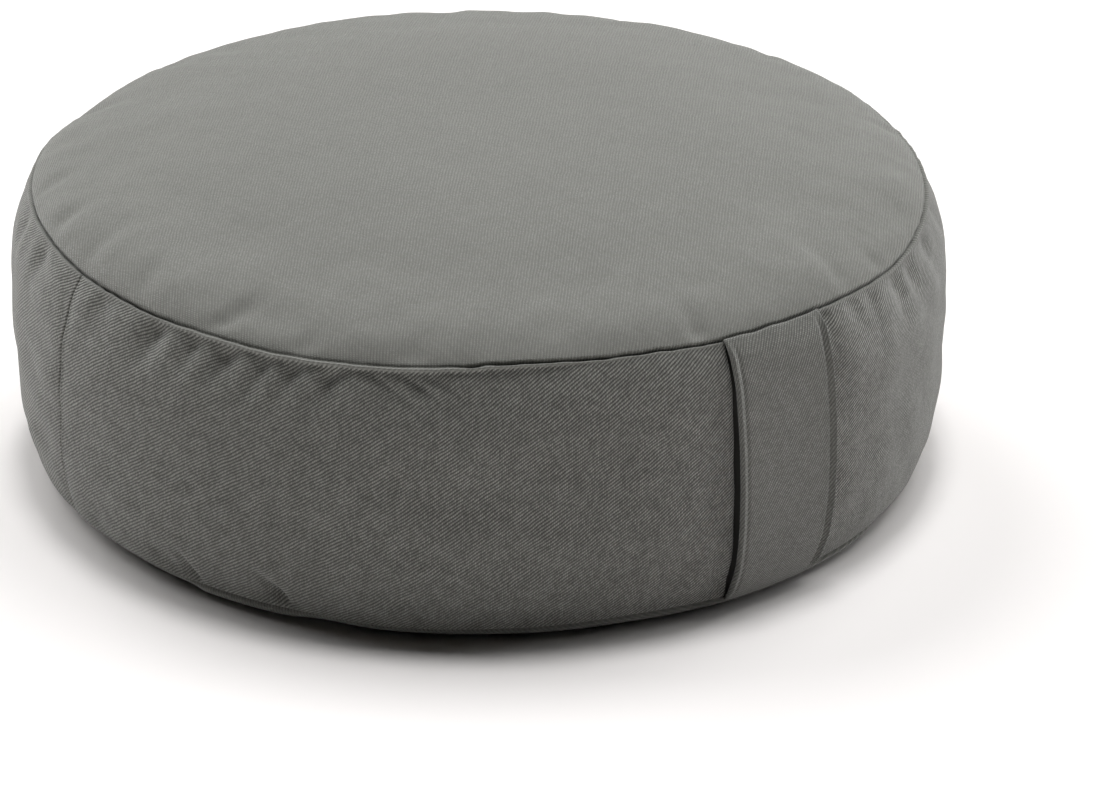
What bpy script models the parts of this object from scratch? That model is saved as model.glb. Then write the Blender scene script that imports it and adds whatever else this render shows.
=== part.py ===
"""Round meditation cushion of grey twill with a carry strap, in metres, +Z up.

The origin is the centre of the flat underside. The strap faces -Y. A bearing is an angle round the
cushion in degrees, measured from the strap towards +X, so +X itself is at a bearing of 90.

The cushion is one filled solid. Its skin is a crowned top panel, a side band that bulges between its
two seams, and a flat bottom panel that rolls up to the bottom seam. The strap is a folded strip that
is sewn into both seams and stands a little off the band between them.
"""

import math
from collections import namedtuple

import bmesh
import bpy

# Driving sizes of the cushion
WIDEST_RADIUS = 0.165
WIDEST_HEIGHT = 0.070
TOP_SEAM_RADIUS = 0.1574
TOP_SEAM_HEIGHT = 0.1012
BOTTOM_SEAM_RADIUS = 0.1582
BOTTOM_SEAM_HEIGHT = 0.0048
CROWN_RISE = 0.025
FLOOR_RADIUS = 0.150
ROLL_SHIFT = 1.0  # where the bottom seam rides up, the bottom panel's roll lies this much further in

# How fast each stretch of the outline turns towards its seam
CROWN_FULLNESS = 2.4
UPPER_BAND_FULLNESS = 2.4
LOWER_BAND_FULLNESS = 3.8

# A seam draws the skin in, in a shallow groove
GROOVE_DEPTH = 0.0014
GROOVE_HALF_WIDTH = 0.0026

# How quickly the crown forgets the top seam's ups and downs on the way to its middle
CROWN_FOLLOW = 3.0

# A pucker is at its full depth this share of its length away from its seam
PUCKER_ONSET = 0.25

# Faces that meet at more than this, in degrees, keep a crease
CREASE_ANGLE = 50.0

# How finely the cushion is divided
STEPS_ROUND = 120
CROWN_RINGS = 9
UPPER_BAND_RINGS = 6
LOWER_BAND_RINGS = 7
ROLL_RINGS = 3

# Driving sizes of the strap
STRAP_WIDTH = 0.0425
STRAP_THICKNESS = 0.0022
STRAP_END_SHARE = 0.55  # of the thickness left where the strap enters a seam
STRAP_END_TAPER = 0.06  # of its length, over which each end thins
STRAP_END_INSET = 0.0009  # from each seam's line
STRAP_SEAT = 0.1615  # the band is pressed flat behind the strap, at this distance from the axis
STRAP_CLEARANCE = 0.0003
STRAP_LEAN = 0.0013  # its lower end lies this much further towards +X than its upper end
STRAP_LIFT_LEFT = 0.0019  # how far each edge stands off the band at mid height
STRAP_LIFT_RIGHT = 0.0002
STRAP_LIFT_FLATNESS = 0.6  # below 1, the strap leaves the band quickly at each seam
STRAP_ROUNDING = 0.0006
STRAP_COLUMNS = 6
STRAP_ROWS = 26

# How far each seam runs above (+) or below (-) its own height, round the cushion
SeamRun = namedtuple("SeamRun", "bearing top bottom")
SEAM_RUNS = (
    SeamRun(bearing=-170, top=0.0015, bottom=0.0004),
    SeamRun(bearing=-140, top=0.0018, bottom=0.0010),
    SeamRun(bearing=-112, top=0.0022, bottom=0.0026),
    SeamRun(bearing=-95, top=0.0006, bottom=0.0022),
    SeamRun(bearing=-78, top=-0.0005, bottom=0.0012),
    SeamRun(bearing=-62, top=-0.0017, bottom=0.0004),
    SeamRun(bearing=-50, top=-0.0012, bottom=-0.0012),
    SeamRun(bearing=-33, top=0.0009, bottom=-0.0006),
    SeamRun(bearing=-20, top=0.0003, bottom=0.0002),
    SeamRun(bearing=-6, top=-0.0012, bottom=-0.0006),
    SeamRun(bearing=9, top=-0.0016, bottom=-0.0002),
    SeamRun(bearing=26, top=-0.0038, bottom=0.0006),
    SeamRun(bearing=46, top=-0.0020, bottom=0.0010),
    SeamRun(bearing=80, top=0.0008, bottom=0.0004),
    SeamRun(bearing=112, top=0.0023, bottom=-0.0004),
    SeamRun(bearing=141, top=0.0032, bottom=0.0002),
    SeamRun(bearing=168, top=0.0022, bottom=0.0006),
)

# The larger puckers, where a seam gathers the band. Each is a trough that starts at its seam, runs
# up or down the band for its length, and leans towards greater bearings by its lean, end to end.
Pucker = namedtuple("Pucker", "seam bearing length width depth lean")
PUCKERS = (
    Pucker(seam="top", bearing=-112, length=0.038, width=0.016, depth=0.0017, lean=-7),
    Pucker(seam="top", bearing=-84, length=0.032, width=0.016, depth=0.0014, lean=-3),
    Pucker(seam="top", bearing=-72, length=0.032, width=0.017, depth=0.0015, lean=-3),
    Pucker(seam="top", bearing=-57, length=0.024, width=0.015, depth=0.0011, lean=-2),
    Pucker(seam="top", bearing=21, length=0.034, width=0.015, depth=0.0014, lean=4),
    Pucker(seam="top", bearing=35, length=0.030, width=0.017, depth=0.0016, lean=3),
    Pucker(seam="top", bearing=64, length=0.032, width=0.018, depth=0.0018, lean=2),
    Pucker(seam="top", bearing=98, length=0.030, width=0.018, depth=0.0015, lean=-2),
    Pucker(seam="top", bearing=131, length=0.036, width=0.019, depth=0.0017, lean=3),
    Pucker(seam="top", bearing=170, length=0.030, width=0.017, depth=0.0014, lean=-3),
    Pucker(seam="top", bearing=-146, length=0.034, width=0.018, depth=0.0016, lean=4),
    Pucker(seam="bottom", bearing=-79, length=0.026, width=0.018, depth=0.0016, lean=-5),
    Pucker(seam="bottom", bearing=-65, length=0.028, width=0.017, depth=0.0016, lean=-5),
    Pucker(seam="bottom", bearing=42, length=0.026, width=0.018, depth=0.0013, lean=4),
    Pucker(seam="bottom", bearing=108, length=0.028, width=0.018, depth=0.0014, lean=-4),
    Pucker(seam="bottom", bearing=-152, length=0.028, width=0.019, depth=0.0014, lean=4),
)

TWILL_COLOUR = (0.205, 0.207, 0.190, 1.0)
STRAP_COLOUR = (0.198, 0.200, 0.184, 1.0)
TWILL_ROUGHNESS = 0.92


def clear_scene():
    for obj in list(bpy.data.objects):
        bpy.data.objects.remove(obj, do_unlink=True)


def new_collection(name):
    collection = bpy.data.collections.new(name)
    bpy.context.scene.collection.children.link(collection)
    return collection


def cloth_material(name, colour):
    material = bpy.data.materials.new(name)
    material.use_nodes = True
    shader = material.node_tree.nodes["Principled BSDF"]
    shader.inputs["Base Color"].default_value = colour
    shader.inputs["Roughness"].default_value = TWILL_ROUGHNESS
    shader.inputs["Metallic"].default_value = 0.0
    return material


def smooth(share):
    """0 to 1 with a level start and end."""
    share = min(max(share, 0.0), 1.0)
    return share * share * (3.0 - 2.0 * share)


def turn_between(bearing, other):
    """The signed angle from other to bearing, within half a turn."""
    return (bearing - other + 180.0) % 360.0 - 180.0


def seam_run(bearing, seam):
    """How far the seam runs above its own height at this bearing, smoothly between the table's rows."""
    for row, following in zip(SEAM_RUNS, SEAM_RUNS[1:] + SEAM_RUNS[:1]):
        gap = (following.bearing - row.bearing) % 360.0
        past = (bearing - row.bearing) % 360.0
        if past <= gap:
            start = getattr(row, seam)
            end = getattr(following, seam)
            return start + (end - start) * smooth(past / gap)
    return 0.0


def crown_height(radius):
    share = radius / TOP_SEAM_RADIUS
    return TOP_SEAM_HEIGHT + CROWN_RISE * (1.0 - share**CROWN_FULLNESS)


def band_radius(height):
    if height > WIDEST_HEIGHT:
        share = (height - WIDEST_HEIGHT) / (TOP_SEAM_HEIGHT - WIDEST_HEIGHT)
        return WIDEST_RADIUS - (WIDEST_RADIUS - TOP_SEAM_RADIUS) * share**UPPER_BAND_FULLNESS
    share = (WIDEST_HEIGHT - height) / (WIDEST_HEIGHT - BOTTOM_SEAM_HEIGHT)
    return WIDEST_RADIUS - (WIDEST_RADIUS - BOTTOM_SEAM_RADIUS) * share**LOWER_BAND_FULLNESS


def crown_outline():
    edge = TOP_SEAM_RADIUS - GROOVE_HALF_WIDTH
    for ring in range(CROWN_RINGS + 1):
        radius = edge * math.sin(0.5 * math.pi * ring / CROWN_RINGS)
        yield radius, crown_height(radius)


def band_outline():
    top = TOP_SEAM_HEIGHT - GROOVE_HALF_WIDTH
    bottom = BOTTOM_SEAM_HEIGHT + GROOVE_HALF_WIDTH
    for ring in range(UPPER_BAND_RINGS):
        turn = 0.5 * math.pi * (1.0 - ring / UPPER_BAND_RINGS)
        height = WIDEST_HEIGHT + (top - WIDEST_HEIGHT) * math.sin(turn)
        yield band_radius(height), height
    for ring in range(LOWER_BAND_RINGS + 1):
        turn = 0.5 * math.pi * ring / LOWER_BAND_RINGS
        height = WIDEST_HEIGHT - (WIDEST_HEIGHT - bottom) * math.sin(turn)
        yield band_radius(height), height


def roll_outline():
    """The bottom panel's edge, from just under its seam in to the floor."""
    reach = BOTTOM_SEAM_RADIUS - FLOOR_RADIUS
    rise = BOTTOM_SEAM_HEIGHT - 0.5 * GROOVE_HALF_WIDTH
    for ring in range(ROLL_RINGS + 1):
        turn = 0.5 * math.pi * ring / ROLL_RINGS
        yield FLOOR_RADIUS + reach * math.cos(turn), rise * (1.0 - math.sin(turn))


def cushion_outline():
    """(radius, height) from the middle of the top, down the outer side, to the middle of the underside."""
    outline = list(crown_outline())
    outline.append((TOP_SEAM_RADIUS - GROOVE_DEPTH, TOP_SEAM_HEIGHT))
    outline.extend(band_outline())
    outline.append((BOTTOM_SEAM_RADIUS - GROOVE_DEPTH, BOTTOM_SEAM_HEIGHT))
    outline.extend(roll_outline())
    outline.append((0.0, 0.0))
    return outline


def turned_mesh(outline, collection):
    """The closed mesh of the outline turned round the Z axis."""
    mesh = bpy.data.meshes.new("outline")
    points = [(radius, 0.0, height) for radius, height in outline]
    edges = [(i, i + 1) for i in range(len(points) - 1)]
    mesh.from_pydata(points, edges, [])
    guide = bpy.data.objects.new("outline", mesh)
    collection.objects.link(guide)
    screw = guide.modifiers.new("Turn", "SCREW")
    screw.axis = "Z"
    screw.angle = 2.0 * math.pi
    screw.steps = STEPS_ROUND
    screw.render_steps = STEPS_ROUND
    screw.use_merge_vertices = True
    screw.merge_threshold = 0.0001
    graph = bpy.context.evaluated_depsgraph_get()
    turned = bpy.data.meshes.new_from_object(guide.evaluated_get(graph))
    bpy.data.objects.remove(guide, do_unlink=True)
    return turned


def with_seam_runs(radius, height, bearing):
    """The height once both seams run up and down as they do on the real cushion."""
    top = seam_run(bearing, "top")
    bottom = seam_run(bearing, "bottom")
    if height > TOP_SEAM_HEIGHT:
        return height + top * (radius / TOP_SEAM_RADIUS) ** CROWN_FOLLOW
    if height < BOTTOM_SEAM_HEIGHT:
        return height * (1.0 + bottom / BOTTOM_SEAM_HEIGHT)
    share = (height - BOTTOM_SEAM_HEIGHT) / (TOP_SEAM_HEIGHT - BOTTOM_SEAM_HEIGHT)
    return height + top * share + bottom * (1.0 - share)


def pucker_depth(radius, height, bearing):
    """How far the puckers draw this point of the band in."""
    depth = 0.0
    for pucker in PUCKERS:
        if pucker.seam == "top":
            along = (TOP_SEAM_HEIGHT - height) / pucker.length
        else:
            along = (height - BOTTOM_SEAM_HEIGHT) / pucker.length
        if not 0.0 <= along < 1.0:
            continue
        middle = pucker.bearing + pucker.lean * along
        across = radius * math.radians(turn_between(bearing, middle)) / (0.5 * pucker.width)
        fading = smooth(along / PUCKER_ONSET) * smooth(1.0 - along)
        depth += pucker.depth * fading * math.exp(-across * across)
    return depth


def roll_shift(radius, height, bearing):
    """How much further in the bottom panel's roll lies where its seam rides up."""
    if height > BOTTOM_SEAM_HEIGHT or radius < FLOOR_RADIUS:
        return 0.0
    out = (radius - FLOOR_RADIUS) / (BOTTOM_SEAM_RADIUS - FLOOR_RADIUS)
    return ROLL_SHIFT * out * max(seam_run(bearing, "bottom"), 0.0)


def settled(point):
    """A point of the plain turned skin, moved to where it lies on the real cushion."""
    radius = math.hypot(point.x, point.y)
    if radius == 0.0:
        return point
    bearing = math.degrees(math.atan2(point.x, -point.y))
    height = with_seam_runs(radius, point.z, bearing)
    drawn_in = pucker_depth(radius, point.z, bearing) + roll_shift(radius, point.z, bearing)
    moved = point * ((radius - drawn_in) / radius)
    moved.z = height
    moved.y = max(moved.y, -STRAP_SEAT)
    return moved


def make_cushion(collection, material):
    mesh = turned_mesh(cushion_outline(), collection)
    mesh.name = "cushion"
    for vertex in mesh.vertices:
        vertex.co = settled(vertex.co.copy())
    mesh.shade_smooth()
    mesh.set_sharp_from_angle(angle=math.radians(CREASE_ANGLE))
    mesh.materials.clear()
    mesh.materials.append(material)
    cushion = bpy.data.objects.new("cushion", mesh)
    collection.objects.link(cushion)
    return cushion


def strap_inner_point(place, across, down):
    """The inner face: across runs from 0 at the left edge to 1, down from 0 at the top seam to 1."""
    start = TOP_SEAM_HEIGHT - STRAP_END_INSET
    end = BOTTOM_SEAM_HEIGHT + STRAP_END_INSET
    place.x = STRAP_WIDTH * (across - 0.5) + STRAP_LEAN * (down - 0.5)
    place.z = start + (end - start) * down
    place.y = -math.sqrt(band_radius(place.z) ** 2 - place.x**2)
    seated = settled(place)
    lift = STRAP_LIFT_LEFT + (STRAP_LIFT_RIGHT - STRAP_LIFT_LEFT) * across
    seated.y -= STRAP_CLEARANCE + lift * math.sin(math.pi * down) ** STRAP_LIFT_FLATNESS
    return seated


def make_strap(collection, material):
    mesh = bpy.data.meshes.new("carry_strap")
    grid = bmesh.new()
    bmesh.ops.create_grid(grid, x_segments=STRAP_COLUMNS, y_segments=STRAP_ROWS, size=0.5)
    to_end = []
    for vertex in grid.verts:
        across = vertex.co.x + 0.5
        down = 0.5 - vertex.co.y
        vertex.co = strap_inner_point(vertex.co.copy(), across, down)
        to_end.append(min(down, 1.0 - down))
    grid.to_mesh(mesh)
    grid.free()
    mesh.materials.append(material)
    strap = bpy.data.objects.new("carry_strap", mesh)
    collection.objects.link(strap)
    group = strap.vertex_groups.new(name="thickness")
    for index, distance in enumerate(to_end):
        thinning = (1.0 - STRAP_END_SHARE) * smooth(1.0 - distance / STRAP_END_TAPER)
        group.add([index], 1.0 - thinning, "REPLACE")
    shell = strap.modifiers.new("Thickness", "SOLIDIFY")
    shell.thickness = STRAP_THICKNESS
    shell.offset = 1.0
    shell.vertex_group = group.name
    rounding = strap.modifiers.new("Rolled edges", "BEVEL")
    rounding.width = STRAP_ROUNDING
    rounding.segments = 2
    rounding.limit_method = "ANGLE"
    rounding.angle_limit = math.radians(CREASE_ANGLE)
    return strap


def main():
    clear_scene()
    collection = new_collection("zafu")
    make_cushion(collection, cloth_material("twill", TWILL_COLOUR))
    make_strap(collection, cloth_material("strap_twill", STRAP_COLOUR))


main()
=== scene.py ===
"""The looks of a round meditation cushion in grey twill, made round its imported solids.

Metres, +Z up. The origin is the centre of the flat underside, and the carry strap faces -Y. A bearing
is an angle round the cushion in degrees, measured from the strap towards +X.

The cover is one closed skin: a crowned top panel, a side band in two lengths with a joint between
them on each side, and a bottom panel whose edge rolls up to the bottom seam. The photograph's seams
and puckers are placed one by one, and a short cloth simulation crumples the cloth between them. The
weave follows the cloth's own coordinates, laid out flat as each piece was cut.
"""

import math
from collections import namedtuple

import bpy
import numpy as np
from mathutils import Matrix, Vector


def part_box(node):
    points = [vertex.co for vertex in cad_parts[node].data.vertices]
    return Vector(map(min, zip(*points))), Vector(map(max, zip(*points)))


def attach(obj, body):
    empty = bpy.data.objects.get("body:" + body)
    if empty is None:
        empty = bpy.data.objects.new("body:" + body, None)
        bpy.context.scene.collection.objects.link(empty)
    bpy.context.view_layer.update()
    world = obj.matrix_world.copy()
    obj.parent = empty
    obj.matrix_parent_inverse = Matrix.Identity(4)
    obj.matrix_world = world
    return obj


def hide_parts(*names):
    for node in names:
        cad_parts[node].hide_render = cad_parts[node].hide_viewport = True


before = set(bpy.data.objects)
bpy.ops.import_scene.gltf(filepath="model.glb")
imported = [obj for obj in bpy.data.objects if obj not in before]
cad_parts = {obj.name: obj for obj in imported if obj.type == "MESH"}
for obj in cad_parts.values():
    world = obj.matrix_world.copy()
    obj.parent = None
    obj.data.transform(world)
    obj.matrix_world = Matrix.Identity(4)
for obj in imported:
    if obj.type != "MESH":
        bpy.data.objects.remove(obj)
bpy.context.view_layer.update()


def table(columns, *rows):
    """A short table with named columns. One in _mm is written in millimetres and read in metres."""
    row = namedtuple("Row", columns.replace("_mm", ""))
    fine = [column.endswith("_mm") for column in columns.split()]
    return [row(*(v / 1000.0 if mm else v for v, mm in zip(values, fine))) for values in rows]


# ---- sizes of the cushion

WIDEST_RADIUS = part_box("cushion")[1][0]
CROWN_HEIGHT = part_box("cushion")[1][2]
WIDEST_HEIGHT = 0.070
TOP_SEAM_RADIUS = 0.1574
TOP_SEAM_HEIGHT = 0.1012
BOTTOM_SEAM_RADIUS = 0.1582
BOTTOM_SEAM_HEIGHT = 0.0048
FLOOR_RADIUS = 0.150
BAND_DROP = TOP_SEAM_HEIGHT - BOTTOM_SEAM_HEIGHT
CROWN_RISE = CROWN_HEIGHT - TOP_SEAM_HEIGHT
CROWN_FULLNESS = 2.7
CROWN_FOLLOW = 3.0  # how quickly the crown forgets the top seam's ups and downs
UPPER_BAND_FULLNESS = 2.4
LOWER_BAND_FULLNESS = 3.8
ROLL_SHIFT = 1.0  # where the bottom seam rides up, the bottom panel's roll lies this much further in
STRAP_SEAT = 0.1615  # the strap presses the band flat at this distance from the axis
SEAT_SOFTNESS = 0.0012
SEAM_WAVER = 0.00012
WAVER_WAVES = (0.010, 0.045)
WAVER_FOLLOW = 40.0

# How far each seam runs above (+) or below (-) its own height, round the cushion
SEAM_RUNS = table(
    "bearing top_mm bottom_mm",
    (-170, 0.6, 0.4),
    (-154, -1.2, 0.7),
    (-140, 1.2, 1),
    (-112, 2.2, 2.6),
    (-95, 0.6, 2.2),
    (-78, -0.5, 1.2),
    (-62, -1.7, 0.4),
    (-50, -1.2, -1.2),
    (-33, 0.9, -0.6),
    (-20, 0.3, 0.2),
    (-6, -1.2, -0.6),
    (9, -1.6, -0.2),
    (26, -3.8, 0.6),
    (46, -2, 1),
    (70, -1.4, 0.6),
    (82, 0.2, 0.4),
    (112, 1, -0.4),
    (141, 1.2, 0.2),
    (168, 0.6, 0.6),
)

# Under the top seam the band's cloth is folded in. The fold stands proud of the band by "rim", and
# the seam's line lies in a groove of that depth.
TOP_FOLDS = table(
    "bearing rim_mm depth_mm",
    (-150, 0.3, 1.2),
    (-112, 0.1, 2.3),
    (-86, 0.1, 2.4),
    (-76, 1.4, 0.6),
    (-60, 1.9, 0.3),
    (-44, 1.8, 0.4),
    (-37, 1.4, 1.3),
    (-24, 0.4, 1.7),
    (-2, 0.3, 1.8),
    (12, 0.2, 1.8),
    (30, 0.6, 1.2),
    (55, 0.7, 1.1),
    (120, 0.4, 1),
)

# Under the bottom seam the bottom panel's edge bulges by "rim", and the seam lies in a groove. The edge
# is round where "tuck" is 0 and runs straight in to the floor where it is 1.
BOTTOM_FOLDS = table(
    "bearing rim_mm depth_mm tuck",
    (-150, 0.4, 0.8, 0.5),
    (-112, 0, 0.5, 1.0),
    (-92, 0, 0.5, 1.0),
    (-79, 0.4, 1, 0.9),
    (-75, 0.8, 1.4, 0.3),
    (-64, 0.9, 1.4, 0.3),
    (-59, 0.3, 0.8, 0.7),
    (-50, 0.3, 0.8, 0.4),
    (-30, 0.4, 0.9, 0.2),
    (0, 0.6, 1, 0.2),
    (16, 0.8, 1.2, 0.3),
    (24, 0.2, 0.6, 0.9),
    (40, 0.1, 0.6, 1.0),
    (100, 0.5, 0.9, 0.3),
)

# Beside its seam the crown rises by this much more than farther in
SHOULDERS = table(
    "bearing rise_mm",
    (-170, 2.2),
    (-125, 2.6),
    (-104, 4.8),
    (-66, 5),
    (-48, 3.8),
    (-34, 2.6),
    (-14, 3),
    (10, 3.8),
    (42, 3.4),
    (62, 2.6),
    (110, 2.2),
)

# Puckers and soft dents, listed by the cloth they lie in: the band under its top seam, the band
# over its bottom seam, and the crown. Each starts at its seam, runs away from it for its length and
# leans towards greater bearings by its lean, end to end. A negative depth is a ridge.
PUCKER_COLUMNS = "bearing length_mm width_mm depth_mm lean"
PUCKERS = {}
PUCKERS["band top"] = table(
    PUCKER_COLUMNS,
    (-146, 34, 18, 2, 4),
    (-118, 30, 12, 1.5, -5),
    (-108, 30, 10, 1.6, -5),
    (-91, 18, 11, 0.9, -3),
    (-81, 22, 11, 2.9, -4),
    (-75, 22, 8, 2.1, -4),
    (-70, 22, 10, 2.9, -4),
    (-65, 25, 7, 2.1, -4),
    (-61, 24, 7, 2.1, -4),
    (-56, 22, 7, 2.2, -4),
    (-53, 28, 5, 1.4, 13),
    (-49, 28, 5, 1.4, 13),
    (-46, 26, 5, 1.2, 12),
    (-31, 12, 9, 0.6, -1),
    (-14, 18, 22, -0.5, -2),
    (7.6, 18, 6, 1.8, 1),
    (13, 20, 10, 1, 2),
    (17, 22, 9, 1.2, 1),
    (24, 24, 10, 1.6, 1),
    (28.5, 26, 10, 1.6, 2),
    (36, 30, 14, 2.1, 4),
    (46, 24, 12, 1.3, 3),
    (60, 20, 12, 1.2, 0),
    (70, 28, 14, 1.7, 2),
    (84, 24, 11, 1.9, 3),
    (98, 30, 18, 2.1, -2),
    (105, 22, 10, 2.4, -3),
    (111, 26, 9, 2.1, -4),
    (121, 20, 11, 1.7, 2),
    (131, 36, 19, 2.4, 3),
    (137, 24, 10, 2.2, 3),
    (152, 20, 10, 1.9, -2),
    (158, 28, 12, 2.4, -3),
    (170, 30, 17, 2.1, -3),
    (-176, 22, 10, 2.1, 2),
    (-165, 26, 11, 2.4, 3),
    (-158, 20, 9, 1.7, 3),
)
PUCKERS["band bottom"] = table(
    PUCKER_COLUMNS,
    (128, 20, 7, 2.2, 4),
    (166, 22, 7, 2.2, -4),
    (-79, 24, 18, 0.9, -4),
    (-76, 18, 6, 2.8, -4),
    (-65, 26, 17, 0.9, -4),
    (-63, 20, 6, 2.8, -5),
    (-9.0, 34, 12, 1.6, 0),
    (42, 26, 18, 1.3, 4),
    (108, 28, 18, 1.4, -4),
    (-152, 28, 19, 1.4, 4),
)
PUCKERS["crown"] = table(
    PUCKER_COLUMNS,
    (-122, 26, 12, 1.5, -3),
    (-109, 26, 11, 1.7, -3),
    (-98, 32, 13, 1.4, -5),
    (-86, 34, 13, 1.3, -5),
    (-73.5, 24, 10, 1.8, 4),
    (-68, 50, 44, 2.2, 4),
    (-61, 18, 10, 1.2, 1),
    (-47, 16, 10, 0.9, 0),
    (-11.3, 20, 9, 1.8, 1),
    (13.5, 34, 12, 1.6, 4),
    (22, 20, 10, 1.1, 1),
    (36, 34, 24, 1.4, 2),
    (66, 26, 12, 1.4, 2),
    (97, 22, 11, 1.3, -2),
    (118, 28, 12, 1.6, 3),
    (146, 24, 12, 1.4, -2),
    (-172, 26, 12, 1.5, 3),
    (-152, 26, 14, 1.4, -2),
)
PUCKER_ONSET = 0.25  # a pucker is at its full depth this share of its length away from its seam
PUCKER_BULGE = 0.4  # how much of its depth goes into the swell on either side of it

# ---- the twill's threads

WARP_PITCH = 0.00060
WEFT_PITCH = 0.00042
WALE_ANGLE = math.degrees(math.atan2(WEFT_PITCH, WARP_PITCH))  # from the band's length
CROWN_WALE_ANGLE = 45.0  # from +X, seen from above

# ---- how finely the cover is divided

COLUMNS = 640
FINEST_COLUMN = 0.18  # the columns beside a band joint, as a share of the widest ones
COLUMN_GROWTH = 1.16
EDGE_BEARING = -7.7  # the columns are drawn together beside the strap's left edge
EDGE_DRAW = 0.75
EDGE_REACH = 1.6
FINEST_RING = 0.00016
RING_GROWTH = 1.17
WIDEST_BAND_RING = 0.0021
WIDEST_CROWN_RING = 0.0024
CROWN_DETAIL = 0.060  # the top panel is finely divided this far in from its seam
RELIEF_ONSET = 0.0006  # the relief starts this far from a seam
LUMP_WAVES = 24
LUMP_LENGTHS = (0.014, 0.060)
CROWN_LUMPS = 0.00022
CROWN_LUMP_ONSET = 0.012
CROWN_CALM = 0.25  # the share of the lumps left in the crown's middle
SHOULDER_STEEPNESS = 0.0068
SHOULDER_REACH = 0.050
BAND_LUMPS = 0.00035
BAND_LUMP_ONSET = 0.008
SECOND_LENGTH_OFFSET = 1.3  # degrees: the weave of the band's second length doesn't meet the first's
INNER_CROWN_RINGS = 16
FLAT_RINGS = 16
INNERMOST_RADIUS = 0.004
FINE_STEPS = 400  # along a curve whose length is measured
NEARLY = 0.999  # a ring this close to its full radius keeps all its points
TINY = 1e-12


def smooth(share):
    """0 to 1 with a level start and end."""
    share = np.clip(share, 0.0, 1.0)
    return share * share * (3.0 - 2.0 * share)


def turn_between(bearing, other):
    """The signed angle from other to bearing, within half a turn."""
    return (bearing - other + 180.0) % 360.0 - 180.0


def around(rows, column, bearing):
    """A table's column read at any bearing, smoothly between its rows."""
    bearings = np.array([row.bearing for row in rows], dtype=float)
    values = np.array([getattr(row, column) for row in rows])
    past = (np.asarray(bearing) - bearings[0]) % 360.0
    starts = bearings - bearings[0]
    before = np.searchsorted(starts, past, side="right") - 1
    gaps = np.diff(np.append(starts, 360.0))
    share = smooth((past - starts[before]) / gaps[before])
    following = (before + 1) % len(rows)
    return values[before] + (values[following] - values[before]) * share


def seam_waver(bearing):
    """The small waver that a sewn line always has."""
    return SEAM_WAVER * ripple(bearing, WAVER_WAVES, seed=6)


def outward(bearing):
    """Horizontal unit vectors away from the axis."""
    angle = np.radians(bearing)
    return np.stack([np.sin(angle), -np.cos(angle), np.zeros_like(angle)], axis=-1)


def at(radius, bearing, height):
    """Points at distances from the axis, bearings and heights."""
    point = outward(bearing) * np.asarray(radius)[..., None]
    point[..., 2] = height
    return point


def ripple(bearing, lengths, seed):
    """Unit noise round the cushion, with waves between the two lengths at the widest radius."""
    shortest, longest = lengths
    draw = np.random.default_rng(seed)
    girth = 2.0 * math.pi * WIDEST_RADIUS
    turns = np.arange(int(girth / longest), int(girth / shortest) + 1)
    heights = draw.normal(size=len(turns))
    phases = draw.uniform(0.0, 2.0 * math.pi, len(turns))
    angle = np.radians(np.asarray(bearing))
    total = np.zeros_like(angle)
    for turn, height, phase in zip(turns, heights, phases):
        total += height * np.cos(turn * angle + phase)
    return total / math.sqrt(0.5 * np.sum(heights**2))


def lumps(points, seed):
    """Unit noise through space, with waves between the lumps' two lengths."""
    shortest, longest = LUMP_LENGTHS
    draw = np.random.default_rng(seed)
    total = np.zeros(points.shape[:-1])
    for _ in range(LUMP_WAVES):
        direction = draw.normal(size=3)
        direction /= np.linalg.norm(direction)
        length = math.exp(draw.uniform(math.log(shortest), math.log(longest)))
        phase = draw.uniform(0.0, 2.0 * math.pi)
        total += np.cos(points @ direction * (2.0 * math.pi / length) + phase)
    return total / math.sqrt(0.5 * LUMP_WAVES)


# ---- the plain skin


def band_radius(height):
    """The band's distance from the axis: its widest, less one curve above and another below."""
    above = (height - WIDEST_HEIGHT) / (TOP_SEAM_HEIGHT - WIDEST_HEIGHT)
    below = (WIDEST_HEIGHT - height) / (WIDEST_HEIGHT - BOTTOM_SEAM_HEIGHT)
    upper = (WIDEST_RADIUS - TOP_SEAM_RADIUS) * np.clip(above, 0.0, None) ** UPPER_BAND_FULLNESS
    lower = (WIDEST_RADIUS - BOTTOM_SEAM_RADIUS) * np.clip(below, 0.0, None) ** LOWER_BAND_FULLNESS
    return WIDEST_RADIUS - upper - lower


def seated(points):
    """The points with the band pressed flat behind the strap."""
    past = -points[..., 1] - STRAP_SEAT
    pressed = SEAT_SOFTNESS * np.logaddexp(0.0, past / SEAT_SOFTNESS)
    points[..., 1] += pressed
    return points


def crown_rise(radius):
    """The plain crown's height above the top seam."""
    return CROWN_RISE * (1.0 - (radius / TOP_SEAM_RADIUS) ** CROWN_FULLNESS)


def crown_skin(radius, bearing):
    share = radius / TOP_SEAM_RADIUS
    run = around(SEAM_RUNS, "top", bearing) * share**CROWN_FOLLOW
    run = run + seam_waver(bearing) * share**WAVER_FOLLOW
    return at(radius, bearing, TOP_SEAM_HEIGHT + run + crown_rise(radius))


def band_skin(down, bearing):
    """down is the height lost from the top seam, before the seams run up and down."""
    height = TOP_SEAM_HEIGHT - down
    share = down / BAND_DROP
    top = around(SEAM_RUNS, "top", bearing) + seam_waver(bearing) * (1.0 - share) ** WAVER_FOLLOW
    run = top * (1.0 - share) + around(SEAM_RUNS, "bottom", bearing) * share
    return seated(at(band_radius(height), bearing, height + run))


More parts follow.
